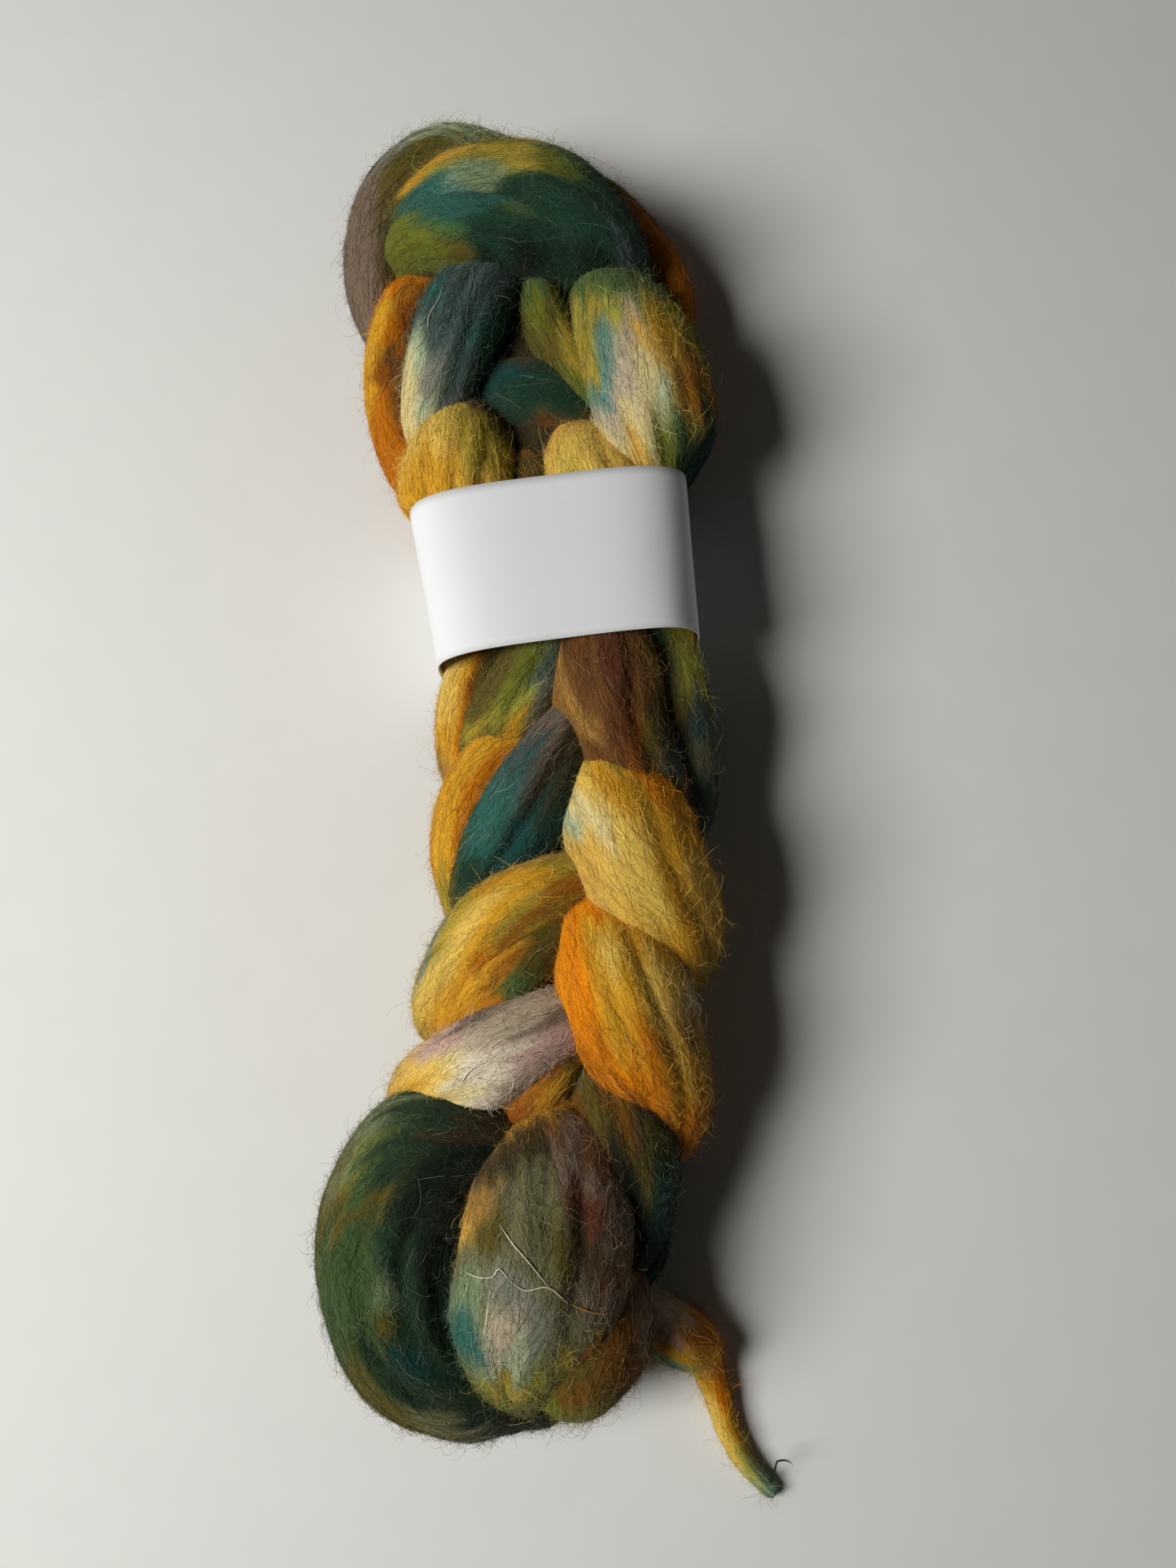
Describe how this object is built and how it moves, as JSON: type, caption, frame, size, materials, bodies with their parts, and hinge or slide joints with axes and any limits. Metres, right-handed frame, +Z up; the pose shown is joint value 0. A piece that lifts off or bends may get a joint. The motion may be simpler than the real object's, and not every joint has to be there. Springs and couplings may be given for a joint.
{
  "type": "combed top braid",
  "caption": "Chain braid of combed wool and silk fibre lying flat, with a plain paper sleeve round its upper middle and a loose tapered end.",
  "frame": {"origin": "middle of the bounding box's bottom, on the table", "axes": "+Y along the braid towards its knotted top, +X across it, +Z up from the table"},
  "size_m": [0.1318, 0.4148, 0.062],
  "materials": {
    "fibre": "soft combed wool and silk, dyed in gold, olive, teal and brown",
    "paper": "matt white paper"
  },
  "bodies": {
    "root": {"braid": "fibre", "paper_band": "paper"}
  },
  "joints": []
}
